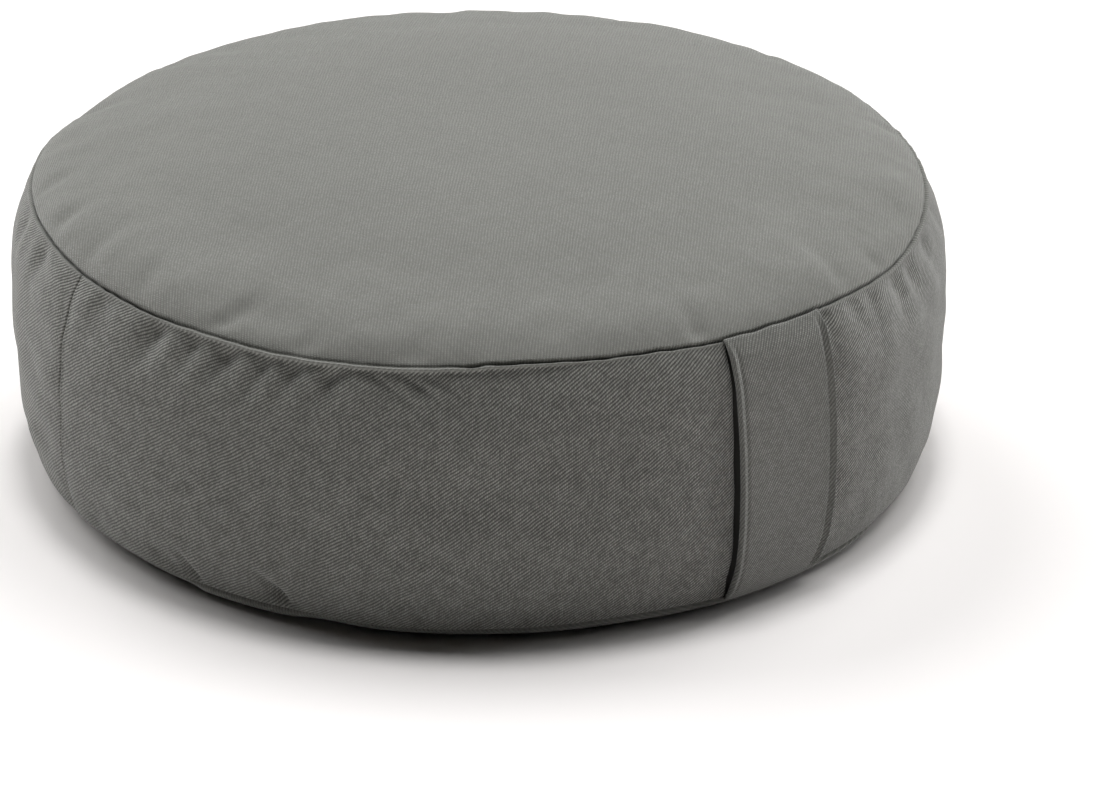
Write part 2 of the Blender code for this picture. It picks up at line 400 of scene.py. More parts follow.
def roll_skin(turn, bearing):
    """The bottom panel's edge: turn runs from 0 at the bottom seam to 1 on the floor."""
    angle = 0.5 * math.pi * turn
    run = around(SEAM_RUNS, "bottom", bearing)
    tuck = around(BOTTOM_FOLDS, "tuck", bearing)
    curve = (1.0 - tuck) * np.cos(angle) + tuck * (1.0 - np.sin(angle))
    reach = (BOTTOM_SEAM_RADIUS - FLOOR_RADIUS) * curve
    inset = ROLL_SHIFT * np.cos(angle) * np.clip(run, 0.0, None)
    height = (BOTTOM_SEAM_HEIGHT + run) * (1.0 - np.sin(angle))
    return at(FLOOR_RADIUS + reach - inset * turn, bearing, height)


def unit(vectors):
    return vectors / np.maximum(np.linalg.norm(vectors, axis=-1, keepdims=True), TINY)


def normals_of(grid):
    """Outward unit normals of a grid of points, rings by columns that close round the cushion."""
    round_it = np.roll(grid, -1, axis=1) - np.roll(grid, 1, axis=1)
    down_it = np.gradient(grid, axis=0)
    return unit(np.cross(down_it, round_it))


# ---- relief placed one by one


def puckered(panel, distance, bearing, radius):
    """How far the puckers of one panel draw the cloth in, at a distance from their seam."""
    depth = np.zeros(np.broadcast(distance, bearing, radius).shape)
    for pucker in PUCKERS[panel]:
        along = distance / pucker.length
        middle = pucker.bearing + pucker.lean * along
        across = radius * np.radians(turn_between(bearing, middle)) / (0.5 * pucker.width)
        fading = smooth(along / PUCKER_ONSET) * smooth(1.0 - along) * (along < 1.0)
        depth += pucker.depth * fading * (1.0 - PUCKER_BULGE * across**2) * np.exp(-across * across)
    return depth


# ---- the folds along the seams

TOP_BISECTOR = (0.65, 0.76)  # outward and upward, half way between the crown's slope and the band's
BOTTOM_BISECTOR = (0.98, -0.19)
GROOVE_WIDTH = 0.00042
GROOVE_RIPPLE = 0.15
RIM_RIPPLE = 0.10
FOLD_WAVES = (0.006, 0.030)
RIM_PLACE = 0.00095  # from the seam's line
RIM_WIDTH = 0.00045
FOLD_REACH = 0.0016  # the fold along the top seam is pulled smooth this far down
STRAP_GROOVE = 0.0014  # the strap's end parts the top seam by this much more
PARTING_HEIGHT = 3.0  # the parting is whole within about 0.8 of the strap's half width,
PARTING_FALL = 2.6  # and fades out just past its edges
LIP_PLACE = 0.0020
LIP_WIDTH = 0.0014

# The band's two joints, as bearings at its top, middle and bottom
JOINTS = table("top middle bottom", (-98.0, -100.0, -102.5), (79.5, 79.5, 80.0))
JOINT_REACH = 14.0  # degrees round the cushion over which the columns lean with a joint
JOINT_FADE = 0.030  # and how far they go on leaning in the panels above and below
JOINT_GROOVE = 0.0010  # at its top; it fades to the share below at its bottom
JOINT_GROOVE_FADE = 0.45
JOINT_GROOVE_WIDTH = 0.00042
JOINT_RIM = 0.00022
JOINT_RIM_PLACE = 0.0011
JOINT_RIM_WIDTH = 0.0006
JOINT_DIP = 0.0004
JOINT_DIP_WIDTH = 0.0040


def bell(distance, middle, width):
    return np.exp(-(((distance - middle) / width) ** 2))


def pushed(points, bearing, direction, length):
    """The points moved by a length, out from the axis and up as direction says."""
    moved = points + outward(bearing) * (direction[0] * length)[..., None]
    moved[..., 2] += direction[1] * length
    return moved


def grooved(points, bearing, bisector, depth, distance):
    """The points with a seam's groove sunk in at a distance from its line."""
    return pushed(points, bearing, bisector, -depth * bell(distance, 0.0, GROOVE_WIDTH))


def joint_bearing(joint, share):
    """The joint's bearing at a share of the band's drop: a parabola through its three bearings."""
    top = joint.top - joint.middle
    bottom = joint.bottom - joint.middle
    place = 2.0 * share - 1.0
    return joint.middle + 0.5 * (bottom - top) * place + 0.5 * (bottom + top) * place**2


def joint_relief(bearing, share):
    """The band's relief along its joints: a thin groove, a lit fold beside it, and a soft dip."""
    relief = np.zeros(bearing.shape)
    for joint in JOINTS:
        across = WIDEST_RADIUS * np.radians(turn_between(bearing, joint_bearing(joint, share)))
        depth = JOINT_GROOVE * (1.0 - (1.0 - JOINT_GROOVE_FADE) * smooth(share))
        relief -= depth * bell(across, 0.0, JOINT_GROOVE_WIDTH)
        relief += JOINT_RIM * bell(across, JOINT_RIM_PLACE, JOINT_RIM_WIDTH)
        relief -= JOINT_DIP * bell(across, 0.0, JOINT_DIP_WIDTH)
    return relief


# ---- sizes of the carry strap

STRAP_WIDTH = 0.0425
STRAP_THICKNESS = 0.0020
STRAP_CLEARANCE = 0.0003
STRAP_LIFTS = (0.0019, 0.0015)  # its left and right edges stand off the band by these half way down
STRAP_LIFT_FLATNESS = 0.6
STRAP_EDGE_ROLL = 0.42  # of the thickness: how round the folded edges are
STRAP_ROWS = 110
STRAP_FINEST = 0.00020  # the steps across its face, from its edges inwards
STRAP_GROWTH = 1.07
STRAP_WIDEST = 0.004
STRAP_EDGE_POINTS = 6
STRAP_TUCK = 0.0022  # the ends go into their seams this far
STRAP_TUCK_ROWS = 6
STRAP_END_THINNING = 0.45
STRAP_END_TAPER = 0.06
STITCH_INSET = 0.0026
STITCH_DEPTHS = (0.00045, 0.00060)
STITCH_WIDTH = 0.0006
BEAD_INSET = 0.0005  # between its stitching and its edge the fold swells to a bead
BEAD_HEIGHTS = (0.0006, 0.0010)
BEAD_WIDTH = 0.0006

# Where the strap's two edges run, from the top seam (0) to the bottom seam (1)
STRAP_EDGES = table(
    "down left_mm right_mm",
    (0.0, -22.7, 18.7),
    (0.1, -23, 18.8),
    (0.22, -22.5, 20),
    (0.4, -21.4, 21.3),
    (0.55, -20.9, 21.7),
    (0.7, -20.8, 21.5),
    (0.85, -21.1, 20.2),
    (0.94, -21.7, 17.6),
    (1.0, -21.7, 15.6),
)
DITCH_DEPTH = 0.0054
DITCH_PLACE = 0.0020  # inwards of the strap's left edge
DITCH_WIDTH = 0.0013
PAINTED_SHADE_REACH = 1.6  # of its width: faces this close to the ditch's middle get a flat painted shade instead of the weave

# ---- the cloth's crumpling, simulated

SIM_COLUMNS = 288
SIM_BAND_ROWS = 31
SIM_CROWN_ROWS = 23
SIM_CROWN_REACH = 0.075
SIM_FRAMES = 20
SEWN_FRAME = 8
CUT_RADIUS = 0.1630  # the band is cut as a straight strip of this radius's girth
CUT_DEPTH = 0.995  # and this share of its own depth
SEED_SHARE = 0.6  # the listed puckers start the cloth off at this share of their depth
STRAY = 0.0001
STRAY_SEED = 5
BROAD_BEND = 17.0  # degrees; bulges broader than this are left to the plain skin
CRUMPLE_LIMIT = 0.0012
CROWN_CRUMPLE_REACH = 0.045
CLOTH_SETTINGS = dict(
    quality=5, mass=0.003, tension_stiffness=40.0, compression_stiffness=40.0, shear_stiffness=3.0,
    bending_stiffness=2.0, use_pressure=True, uniform_pressure_force=15.0,
)

# How much of the simulated crumpling shows in the band and in the crown, round the cushion
CRUMPLES = table(
    "bearing band crown",
    (-145, 0.6, 0.3),
    (-112, 0.6, 0.3),
    (-90, 0.6, 0.25),
    (-72, 0.85, 0.35),
    (-52, 0.8, 0.35),
    (-34, 0.25, 0.3),
    (-14, 0.06, 0.12),
    (8, 0.1, 0.12),
    (22, 0.45, 0.12),
    (40, 0.6, 0.2),
    (75, 0.6, 0.3),
    (130, 0.65, 0.3),
)


def arc_length(points):
    """Length along each column of points, from the first row."""
    steps = np.linalg.norm(np.diff(points, axis=0), axis=-1)
    return np.concatenate([np.zeros_like(steps[:1]), np.cumsum(steps, axis=0)])


def crown_arc(radius):
    """Length over the crown from its middle out to each radius."""
    fine = np.linspace(0.0, TOP_SEAM_RADIUS, FINE_STEPS)
    return np.interp(radius, fine, arc_length(np.stack([fine, crown_rise(fine)], axis=-1)))


def band_arc(down):
    """Length down the band from the top seam."""
    fine = np.linspace(0.0, BAND_DROP, FINE_STEPS)
    radius = band_radius(TOP_SEAM_HEIGHT - fine)
    return np.interp(down, fine, arc_length(np.stack([radius, fine], axis=-1)))


def grid_faces(rows, columns, first):
    """Quads of a grid that closes round, facing out for rows that run outwards and down."""
    faces = []
    for row in range(rows - 1):
        here = first + row * columns
        below = here + columns
        for column in range(columns):
            following = (column + 1) % columns
            faces.append((here + column, below + column, below + following, here + following))
    return faces


def add_object(name, data):
    added = bpy.data.objects.new(name, data)
    bpy.context.scene.collection.objects.link(added)
    return added


def simulated(cut, sewn, faces, pinned):
    """The cut cloth's points once its edges have moved to their seams, under the filling's pressure."""
    mesh = bpy.data.meshes.new("settling")
    mesh.from_pydata(cut.tolist(), [], faces)
    settling = add_object("settling", mesh)
    scene = bpy.context.scene
    settling.shape_key_add(name="cut", from_mix=False)
    key = settling.shape_key_add(name="sewn", from_mix=False)
    key.data.foreach_set("co", sewn.ravel())
    key.value = 0.0
    key.keyframe_insert("value", frame=1)
    key.value = 1.0
    key.keyframe_insert("value", frame=SEWN_FRAME)
    pins = settling.vertex_groups.new(name="sewn")
    pins.add(pinned.tolist(), 1.0, "REPLACE")
    cloth = settling.modifiers.new("Cloth", "CLOTH")
    for setting, value in CLOTH_SETTINGS.items():
        setattr(cloth.settings, setting, value)
    cloth.settings.effector_weights.gravity = 0.0
    cloth.settings.vertex_group_mass = pins.name
    cloth.point_cache.frame_start = 1
    cloth.point_cache.frame_end = SIM_FRAMES
    for number in range(1, SIM_FRAMES + 1):
        scene.frame_set(number)
    evaluated = settling.evaluated_get(bpy.context.evaluated_depsgraph_get())
    settled = np.empty(3 * len(cut))
    evaluated.data.vertices.foreach_get("co", settled)
    scene.frame_set(1)
    bpy.data.objects.remove(settling, do_unlink=True)
    bpy.data.meshes.remove(mesh)
    return settled.reshape(-1, 3)


def only_crumples(moved):
    """The crumples in a field of outward moves, less its broad bulges and its grid's own chatter."""
    reach = int(BROAD_BEND / 360.0 * moved.shape[1])
    wrapped = np.pad(moved, ((0, 0), (reach, reach)), mode="wrap")
    total = np.cumsum(np.pad(wrapped, ((0, 0), (1, 0))), axis=1)
    window = 2 * reach + 1
    broad = (total[:, window:] - total[:, :-window]) / window
    fine = moved - broad
    for axis, mode in enumerate(("edge", "wrap")):
        ends = np.zeros((2, 2), dtype=int)
        ends[axis] = 1
        wider = np.pad(fine, ends, mode=mode)
        places = np.arange(fine.shape[axis])
        before = np.take(wider, places, axis=axis)
        after = np.take(wider, places + 2, axis=axis)
        fine = 0.25 * before + 0.5 * fine + 0.25 * after
    fine[[0, -1]] = 0.0
    return CRUMPLE_LIMIT * np.tanh(fine / CRUMPLE_LIMIT)


def crumpled_cloth():
    """Outward moves of the simulated cloth, in the crown and in the band, on their own grids."""
    columns = np.arange(SIM_COLUMNS) * 360.0 / SIM_COLUMNS - 180.0
    draw = np.random.default_rng(STRAY_SEED)
    reach = np.linspace(SIM_CROWN_REACH, 0.0, SIM_CROWN_ROWS)[:, None]
    radius = TOP_SEAM_RADIUS - reach + 0.0 * columns
    bearing = columns + 0.0 * radius
    crown = at(radius, bearing, TOP_SEAM_HEIGHT + crown_rise(radius))
    cut_height = TOP_SEAM_HEIGHT + 0.5 * CROWN_RISE + STRAY * draw.normal(size=radius.shape)
    cut_crown = at(crown_arc(radius), bearing, cut_height)
    down = np.linspace(0.0, BAND_DROP, SIM_BAND_ROWS)[:, None] + 0.0 * columns
    bearing = columns + 0.0 * down
    band = at(band_radius(TOP_SEAM_HEIGHT - down), bearing, TOP_SEAM_HEIGHT - down)
    seeds = puckered("band top", down, bearing, WIDEST_RADIUS)
    seeds += puckered("band bottom", BAND_DROP - down, bearing, WIDEST_RADIUS)
    cut_radius = CUT_RADIUS - SEED_SHARE * seeds - STRAY * draw.normal(size=down.shape)
    above = band_arc(TOP_SEAM_HEIGHT - WIDEST_HEIGHT) - band_arc(down)
    cut_band = at(cut_radius, bearing, WIDEST_HEIGHT + CUT_DEPTH * above)
    crown_count = radius.size
    faces = grid_faces(SIM_CROWN_ROWS, SIM_COLUMNS, 0)
    faces += grid_faces(SIM_BAND_ROWS, SIM_COLUMNS, crown_count)
    numbers = np.arange(crown_count + down.size).reshape(-1, SIM_COLUMNS)
    edges = [0, SIM_CROWN_ROWS - 1, SIM_CROWN_ROWS, -1]
    settled = simulated(
        np.concatenate([cut_crown, cut_band]).reshape(-1, 3),
        np.concatenate([crown, band]).reshape(-1, 3),
        faces,
        numbers[edges].ravel(),
    )
    moves = []
    for plain, after in ((crown, settled[:crown_count]), (band, settled[crown_count:])):
        moved = np.sum((after.reshape(plain.shape) - plain) * normals_of(plain), axis=-1)
        moves.append(only_crumples(moved))
    return moves


def spline_weights(s):
    """Weights of the four neighbours of a place at a share s between the middle two."""
    return (
        0.5 * (-s + 2.0 * s**2 - s**3),
        0.5 * (2.0 - 5.0 * s**2 + 3.0 * s**3),
        0.5 * (s + 4.0 * s**2 - 3.0 * s**3),
        0.5 * (-(s**2) + s**3),
    )


def read_field(field, row, bearing):
    """A simulated grid's field, read smoothly at fractional rows and any bearing."""
    rows, columns = field.shape
    row = np.clip(row, 0.0, rows - 1.000001)
    column = (np.asarray(bearing) + 180.0) % 360.0 * columns / 360.0
    first_row = np.floor(row).astype(int)
    first_column = np.floor(column).astype(int)
    total = np.zeros(np.broadcast(row, column).shape)
    for i, across_rows in enumerate(spline_weights(row - first_row)):
        rows_read = np.clip(first_row + i - 1, 0, rows - 1)
        for j, across_columns in enumerate(spline_weights(column - first_column)):
            columns_read = (first_column + j - 1) % columns
            total += across_rows * across_columns * field[rows_read, columns_read]
    return total


# ---- the cover's mesh


def spaced(length, first, growth, widest):
    """Distances from 0 to length whose steps start small and grow to the widest."""
    steps = [first]
    while sum(steps) < length:
        steps.append(min(steps[-1] * growth, widest))
    places = np.cumsum([0.0, *steps])
    return places * (length / places[-1])


def spaced_both_ends(length, first, growth, widest):
    half = spaced(0.5 * length, first, growth, widest)
    return np.concatenate([half, length - half[-2::-1]])


def column_bearings():
    """Bearings of the columns at the band's middle: closer together beside each joint."""
    numbers = np.arange(COLUMNS // 2)
    steps = np.minimum(FINEST_COLUMN * COLUMN_GROWTH ** np.minimum(numbers, numbers[::-1]), 1.0)
    places = np.cumsum([0.0, *steps])
    first, second = (joint.middle for joint in JOINTS)
    lengths = ((first, second), (second, first + 360.0))
    bearings = [start + (end - start) * places[:-1] / places[-1] for start, end in lengths]
    bearings = np.concatenate(bearings)
    past = bearings - EDGE_BEARING
    return bearings - EDGE_DRAW * past * bell(past, 0.0, EDGE_REACH)


def leaning(columns, share, fade):
    """Column bearings on rings at those shares of the band's drop, leaning with the joints."""
    bearing = columns + 0.0 * share
    for joint in JOINTS:
        window = smooth(1.0 - np.abs(turn_between(columns, joint.middle)) / JOINT_REACH)
        bearing = bearing + (joint_bearing(joint, share) - joint.middle) * window * fade
    return bearing


def turned(points, degrees):
    angle = math.radians(degrees)
    along = points[..., 0] * math.cos(angle) - points[..., 1] * math.sin(angle)
    across = points[..., 0] * math.sin(angle) + points[..., 1] * math.cos(angle)
    return np.stack([along, across], axis=-1)


# Points in rings by columns, and each one's place on the flat cloth where a face starts or ends at it
Strip = namedtuple("Strip", "points uv_start uv_end")


def crown_strip(columns, crumples):
    """The top panel, from near its middle out to the top seam."""
    distance = spaced(CROWN_DETAIL, FINEST_RING, RING_GROWTH, WIDEST_CROWN_RING)
    inner = np.linspace(CROWN_DETAIL, TOP_SEAM_RADIUS - INNERMOST_RADIUS, INNER_CROWN_RINGS + 1)[1:]
    distance = np.concatenate([distance, inner])[::-1, None]
    radius = TOP_SEAM_RADIUS - distance
    bearing = leaning(columns, np.zeros_like(radius), smooth(1.0 - distance / JOINT_FADE))
    points = crown_skin(radius + 0.0 * bearing, bearing)
    normal = normals_of(points)
    shoulder = 1.0 - np.exp(-distance / SHOULDER_STEEPNESS)
    fading = smooth(1.0 - distance / SHOULDER_REACH)
    relief = around(SHOULDERS, "rise", bearing) * shoulder * fading
    relief = relief - puckered("crown", distance, bearing, TOP_SEAM_RADIUS)
    calm = 1.0 - (1.0 - CROWN_CALM) * smooth(distance / CROWN_DETAIL)
    relief += CROWN_LUMPS * calm * lumps(points, seed=11) * smooth(distance / CROWN_LUMP_ONSET)
    if crumples is not None:
        row = (1.0 - distance / SIM_CROWN_REACH) * (SIM_CROWN_ROWS - 1)
        showing = around(CRUMPLES, "crown", bearing) * smooth(1.0 - distance / CROWN_CRUMPLE_REACH)
        relief += showing * read_field(crumples, row + 0.0 * bearing, bearing)
    points = points + normal * relief[..., None]
    points = grooved(points, bearing, TOP_BISECTOR, top_groove(bearing), distance)
    flat = outward(bearing)[..., :2] * crown_arc(radius)[..., None]
    uv = turned(flat, WALE_ANGLE - CROWN_WALE_ANGLE)
    return Strip(points, uv, np.roll(uv, -1, axis=1))


def top_groove(bearing):
    """How deep the top seam lies, and deeper where the strap's end parts it."""
    across = WIDEST_RADIUS * np.radians(turn_between(bearing, 0.0)) / (0.5 * STRAP_WIDTH)
    parted = STRAP_GROOVE * smooth(PARTING_HEIGHT - PARTING_FALL * np.abs(across))
    uneven = 1.0 + GROOVE_RIPPLE * ripple(bearing, FOLD_WAVES, seed=3)
    return around(TOP_FOLDS, "depth", bearing) * uneven + parted


def band_rings():
    return spaced_both_ends(BAND_DROP, FINEST_RING, RING_GROWTH, WIDEST_BAND_RING)


def band_strip(columns, crumples):
    """The side band, from the top seam down to the bottom seam."""
    down = band_rings()[:, None]
    share = down / BAND_DROP
    bearing = leaning(columns, share, 1.0)
    points = band_skin(down + 0.0 * bearing, bearing)
    normal = normals_of(points)
    above_bottom = BAND_DROP - down
    relief = joint_relief(bearing, share)
    relief -= puckered("band top", down, bearing, WIDEST_RADIUS)
    relief -= puckered("band bottom", above_bottom, bearing, WIDEST_RADIUS)
    relief -= strap_ditch(points, share)
    inside = smooth(down / BAND_LUMP_ONSET) * smooth(above_bottom / BAND_LUMP_ONSET)
    relief += BAND_LUMPS * lumps(points, seed=12) * inside
    uneven = 1.0 + RIM_RIPPLE * ripple(bearing, FOLD_WAVES, seed=4)
    relief += around(TOP_FOLDS, "rim", bearing) * uneven * bell(down, RIM_PLACE, RIM_WIDTH)
    if crumples is not None:
        row = share * (SIM_BAND_ROWS - 1) + 0.0 * bearing
        relief += around(CRUMPLES, "band", bearing) * read_field(crumples, row, bearing)
    relief = relief * smooth(down / RELIEF_ONSET)
    points = points + normal * relief[..., None]
    points = grooved(points, bearing, TOP_BISECTOR, top_groove(bearing), down)
    groove = around(BOTTOM_FOLDS, "depth", bearing)
    points = grooved(points, bearing, BOTTOM_BISECTOR, groove, above_bottom)
    height = -band_arc(down)
    lean = bearing - columns
    ends = np.append(columns[1:], columns[0] + 360.0)
    first = np.arange(COLUMNS) < COLUMNS // 2
    origin = np.where(first, JOINTS[0].middle, JOINTS[1].middle - SECOND_LENGTH_OFFSET)
    sides = []
    for seen in (columns + lean, ends + np.roll(lean, -1, axis=1)):
        length = np.radians(seen - origin) * WIDEST_RADIUS
        sides.append(np.stack([length, height + 0.0 * length], axis=-1))
    return Strip(points, *sides)


def strap_edge(side, down):
    """How far towards +X one of the strap's edges runs, at shares of its way down."""
    places = [row.down for row in STRAP_EDGES]
    return np.interp(down, places, [getattr(row, side) for row in STRAP_EDGES])


def ditch_middle(share):
    return DITCH_PLACE + strap_edge("left", share)


def strap_ditch(points, share):
    """Behind the strap's standing edge the band is drawn in."""
    fading = np.sin(np.pi * share) ** STRAP_LIFT_FLATNESS * (points[..., 1] < 0.0)
    return DITCH_DEPTH * bell(points[..., 0], ditch_middle(share), DITCH_WIDTH) * fading


def bottom_strip(columns):
    """The bottom panel: its rolled edge, then the flat that rests on the floor."""
    fine_turn = np.linspace(0.0, 1.0, FINE_STEPS)
    roll_length = arc_length(roll_skin(fine_turn, 0.0 * fine_turn))
    along = spaced(roll_length[-1], FINEST_RING, RING_GROWTH, WIDEST_BAND_RING)[:, None]
    turn = np.interp(along, roll_length, fine_turn)
    bearing = leaning(columns, np.ones_like(turn), smooth(1.0 - along / JOINT_FADE))
    points = roll_skin(turn + 0.0 * bearing, bearing)
    normal = normals_of(points)
    relief = around(BOTTOM_FOLDS, "rim", bearing) * bell(along, LIP_PLACE, LIP_WIDTH)
    points = points + normal * (relief * smooth(along / RELIEF_ONSET))[..., None]
    groove = around(BOTTOM_FOLDS, "depth", bearing)
    points = grooved(points, bearing, BOTTOM_BISECTOR, groove, along)
    points[..., 2] = np.maximum(points[..., 2], 0.0)
    inwards = np.linspace(FLOOR_RADIUS, INNERMOST_RADIUS, FLAT_RINGS + 1)[1:, None]
    flat_bearing = leaning(columns, np.ones_like(inwards), 0.0 * inwards)
    points = np.concatenate([points, at(inwards + 0.0 * flat_bearing, flat_bearing, 0.0)])
    reach = np.concatenate([FLOOR_RADIUS + roll_length[-1] - along, inwards])
    spread = outward(np.concatenate([bearing, flat_bearing]))[..., :2] * reach[..., None]
    uv = turned(spread * (-1.0, 1.0), WALE_ANGLE)
    return Strip(points, uv, np.roll(uv, -1, axis=1))


# ---- one skin from the three strips


def stride(radius, full):
    """How many columns apart a ring's points lie: doubled each time the radius has halved."""
    return 1 if radius >= full else 2 ** math.ceil(math.log2(full / radius))


def face_corners(upper, lower):
    """The faces between two rings whose points lie upper and lower columns apart.

    Each face is a walk round its corners: the ring, 0 or 1, the column, the column whose strip of
    cloth the face is in there, and the side of that strip, 0 for its start or 1 for its end.
    """
    wide = max(upper, lower)
    for column in range(0, COLUMNS, wide):
        last = column + wide - 1
        end = (column + wide) % COLUMNS
        walk = [(0, column, column, 0)]
        walk += [(1, place, place, 0) for place in range(column, column + wide, lower)]
        walk += [(1, end, last, 1), (0, end, last, 1)]
        walk += [(0, place, place, 0) for place in range(column + wide - upper, column, -upper)]
        yield walk


def skin(strips, strides):
    """One closed skin: its points and faces, each corner's place on the flat cloth, and the strip and
    ring that each face is in. A strip's first ring is the last ring of the strip before it.
    """
    points, faces, cloth, places_in, rings = [], [], [], [], []
    for panel, (strip, steps) in enumerate(zip(strips, strides)):
        sides = (strip.uv_start.tolist(), strip.uv_end.tolist())
        for ring, step in enumerate(steps):
            if ring == 0 and panel > 0:
                continue
            numbers = np.full(COLUMNS, -1)
            numbers[::step] = np.arange(len(points), len(points) + COLUMNS // step)
            points.extend(strip.points[ring, ::step].tolist())
            rings.append(numbers)
            if ring == 0:
                continue
            for walk in face_corners(steps[ring - 1], step):
                faces.append([int(rings[row - 2][place]) for row, place, _, _ in walk])
                cloth += [sides[side][ring - 1 + row][cut] for row, _, cut, side in walk]
                places_in.append((panel, ring))
    for panel, ring, order in ((0, 0, 1), (len(strips) - 1, -1, -1)):
        places = np.flatnonzero(rings[ring] >= 0)[::order]
        faces.append(rings[ring][places].tolist())
        cloth += strips[panel].uv_start[ring, places].tolist()
        places_in.append((panel, 0))
    return points, faces, cloth, places_in


def add_piece(name, points, faces, cloth, materials, choice=None):
    """A smooth mesh piece. choice gives each face's number among the materials."""
    mesh = bpy.data.meshes.new(name)
    mesh.from_pydata(points, [], faces)
    mesh.uv_layers.new(name="cloth").data.foreach_set("uv", np.ravel(cloth))
    for material in materials:
        mesh.materials.append(material)
    if choice is not None:
        mesh.polygons.foreach_set("material_index", choice)
    mesh.shade_smooth()
    mesh.validate()
    return add_object(name, mesh)


def make_cover(materials):
    """The cover. Its materials are the panels' twill, the band's, and a flat painted shade for the
    ditch behind the strap.
    """
    columns = column_bearings()
    in_crown, in_band = crumpled_cloth()
    strips = (crown_strip(columns, in_crown), band_strip(columns, in_band), bottom_strip(columns))
    strides = []
    for strip, full in zip(strips, (TOP_SEAM_RADIUS - CROWN_DETAIL, 0.0, FLOOR_RADIUS)):
        radii = np.linalg.norm(strip.points[..., :2], axis=-1).mean(axis=1)
        strides.append([stride(radius, full * NEARLY) for radius in radii])
    points, faces, cloth, places_in = skin(strips, strides)
    down = band_rings()
    middles = ditch_middle(down / BAND_DROP)
    choice = []
    for (panel, ring), corners in zip(places_in, faces):
        x, y, _ = points[corners[0]]
        banded = panel == 1 and down[ring] > FOLD_REACH
        # Faces deep in the ditch behind the strap's left edge get the painted shade, a flat darker
        # colour
        in_painted_shade = banded and y < 0.0 and abs(x - middles[ring]) < PAINTED_SHADE_REACH * DITCH_WIDTH
        choice.append(2 if in_painted_shade else int(banded))
    return add_piece("cover", points, faces, cloth, materials, choice)


# ---- the carry strap


def strap_face(across, down):
    """The strap's inner face: across runs from -0.5 to 0.5 and down from 0 at the top seam to 1."""
    left, right = strap_edge("left", down), strap_edge("right", down)
    side = left + (right - left) * (across + 0.5)
    drop = BAND_DROP * down
    radius = band_radius(TOP_SEAM_HEIGHT - drop)
    bearing = np.degrees(np.arcsin(side / radius))
    points = band_skin(drop, bearing)
    left, right = STRAP_LIFTS
    lift = left + (right - left) * (across + 0.5)
    lift = lift * np.sin(np.pi * np.clip(down, 0.0, 1.0)) ** STRAP_LIFT_FLATNESS
    points[..., 1] -= STRAP_CLEARANCE + lift
    return points


def strap_section():
    """Round the strap: places across it, and heights from 0 on the inner face to 1."""
    places = spaced_both_ends(STRAP_WIDTH, STRAP_FINEST, STRAP_GROWTH, STRAP_WIDEST)[1:-1]
    roll = STRAP_EDGE_ROLL * STRAP_THICKNESS / STRAP_WIDTH
    face = (places / STRAP_WIDTH - 0.5) * (1.0 - 2.0 * roll)
    turn = np.linspace(-0.5 * np.pi, 0.5 * np.pi, STRAP_EDGE_POINTS + 2)
    edge = 0.5 - roll + roll * np.cos(turn)
    rise = 0.5 * np.sin(turn)
    across = np.concatenate([face, edge, face[::-1], -edge])
    height = np.concatenate([0.0 * face, 0.5 + rise, 1.0 + 0.0 * face, 0.5 - rise])
    return across, height


def make_strap(material):
    """A closed strip of folded cloth, tucked into both seams, with a valley sewn along each edge."""
    across, height = strap_section()
    tucks = np.linspace(1.0, 0.0, STRAP_TUCK_ROWS, endpoint=False)
    down = np.concatenate([0.0 * tucks, np.linspace(0.0, 1.0, STRAP_ROWS), 1.0 + 0.0 * tucks])[:, None]
    tuck = np.concatenate([tucks, np.zeros(STRAP_ROWS), tucks[::-1]])[:, None]
    inner = strap_face(across + 0.0 * down, down + 0.0 * across)
    middle = strap_face(0.0 * across + 0.0 * down, down + 0.0 * across)
    run_down = np.where(tuck[..., None] > 0.0, 0.0, np.gradient(middle, axis=0))
    level = np.zeros_like(inner)
    level[..., 1] = -1.0
    along = np.sum(level * run_down, axis=-1, keepdims=True)
    steepness = np.maximum(np.sum(run_down**2, axis=-1, keepdims=True), TINY)
    facing = unit(level - run_down * along / steepness)
    ends = smooth(np.minimum(down, 1.0 - down) / STRAP_END_TAPER) * (tuck == 0.0)
    thickness = STRAP_THICKNESS * (1.0 - STRAP_END_THINNING * (1.0 - ends))
    inset = (0.5 - np.abs(across)) * STRAP_WIDTH
    depth = np.where(across < 0.0, *STITCH_DEPTHS)
    valley = depth * bell(inset, STITCH_INSET, STITCH_WIDTH) * ends
    bead = np.where(across < 0.0, *BEAD_HEIGHTS)
    valley = valley - bead * bell(inset, BEAD_INSET, BEAD_WIDTH) * ends * (height > 0.5)
    shift = thickness * height + valley * np.sign(0.5 - height)
    points = inner + facing * shift[..., None]
    bearing = np.degrees(np.arctan2(points[..., 0], -points[..., 1]))
    top = down < 0.5
    for bisector, end in ((TOP_BISECTOR, top), (BOTTOM_BISECTOR, ~top)):
        moved = pushed(points, bearing, bisector, -STRAP_TUCK * tuck + 0.0 * across)
        points = np.where(end[..., None], moved, points)
    return loft("strap", points, material)


def loft(name, points, material):
    """A closed strip from its sections, with cloth places measured round them and down its length."""
    rows, round_it = points.shape[:2]
    closed = np.concatenate([points, points[:, :1]], axis=1)
    girth = arc_length(closed[rows // 2][:, None])[:, 0]
    length = arc_length(points.mean(axis=1)[:, None])[:, 0]
    flat = -np.stack(np.broadcast_arrays(length[:, None], girth[None, :]), axis=-1)
    faces, corners = [], []
    for row in range(rows - 1):
        for place in range(round_it):
            following = (place + 1) % round_it
            here, below = row * round_it, (row + 1) * round_it
            faces.append([here + place, below + place, below + following, here + following])
            corners += [*flat[row : row + 2, place], *flat[row : row + 2, place + 1][::-1]]
    for row, order in ((0, range(round_it)), (rows - 1, range(round_it - 1, -1, -1))):
        faces.append([row * round_it + place for place in order])
        corners += [flat[row, place] for place in order]
    return add_piece(name, points.reshape(-1, 3).tolist(), faces, corners, (material,))


# ---- the twill

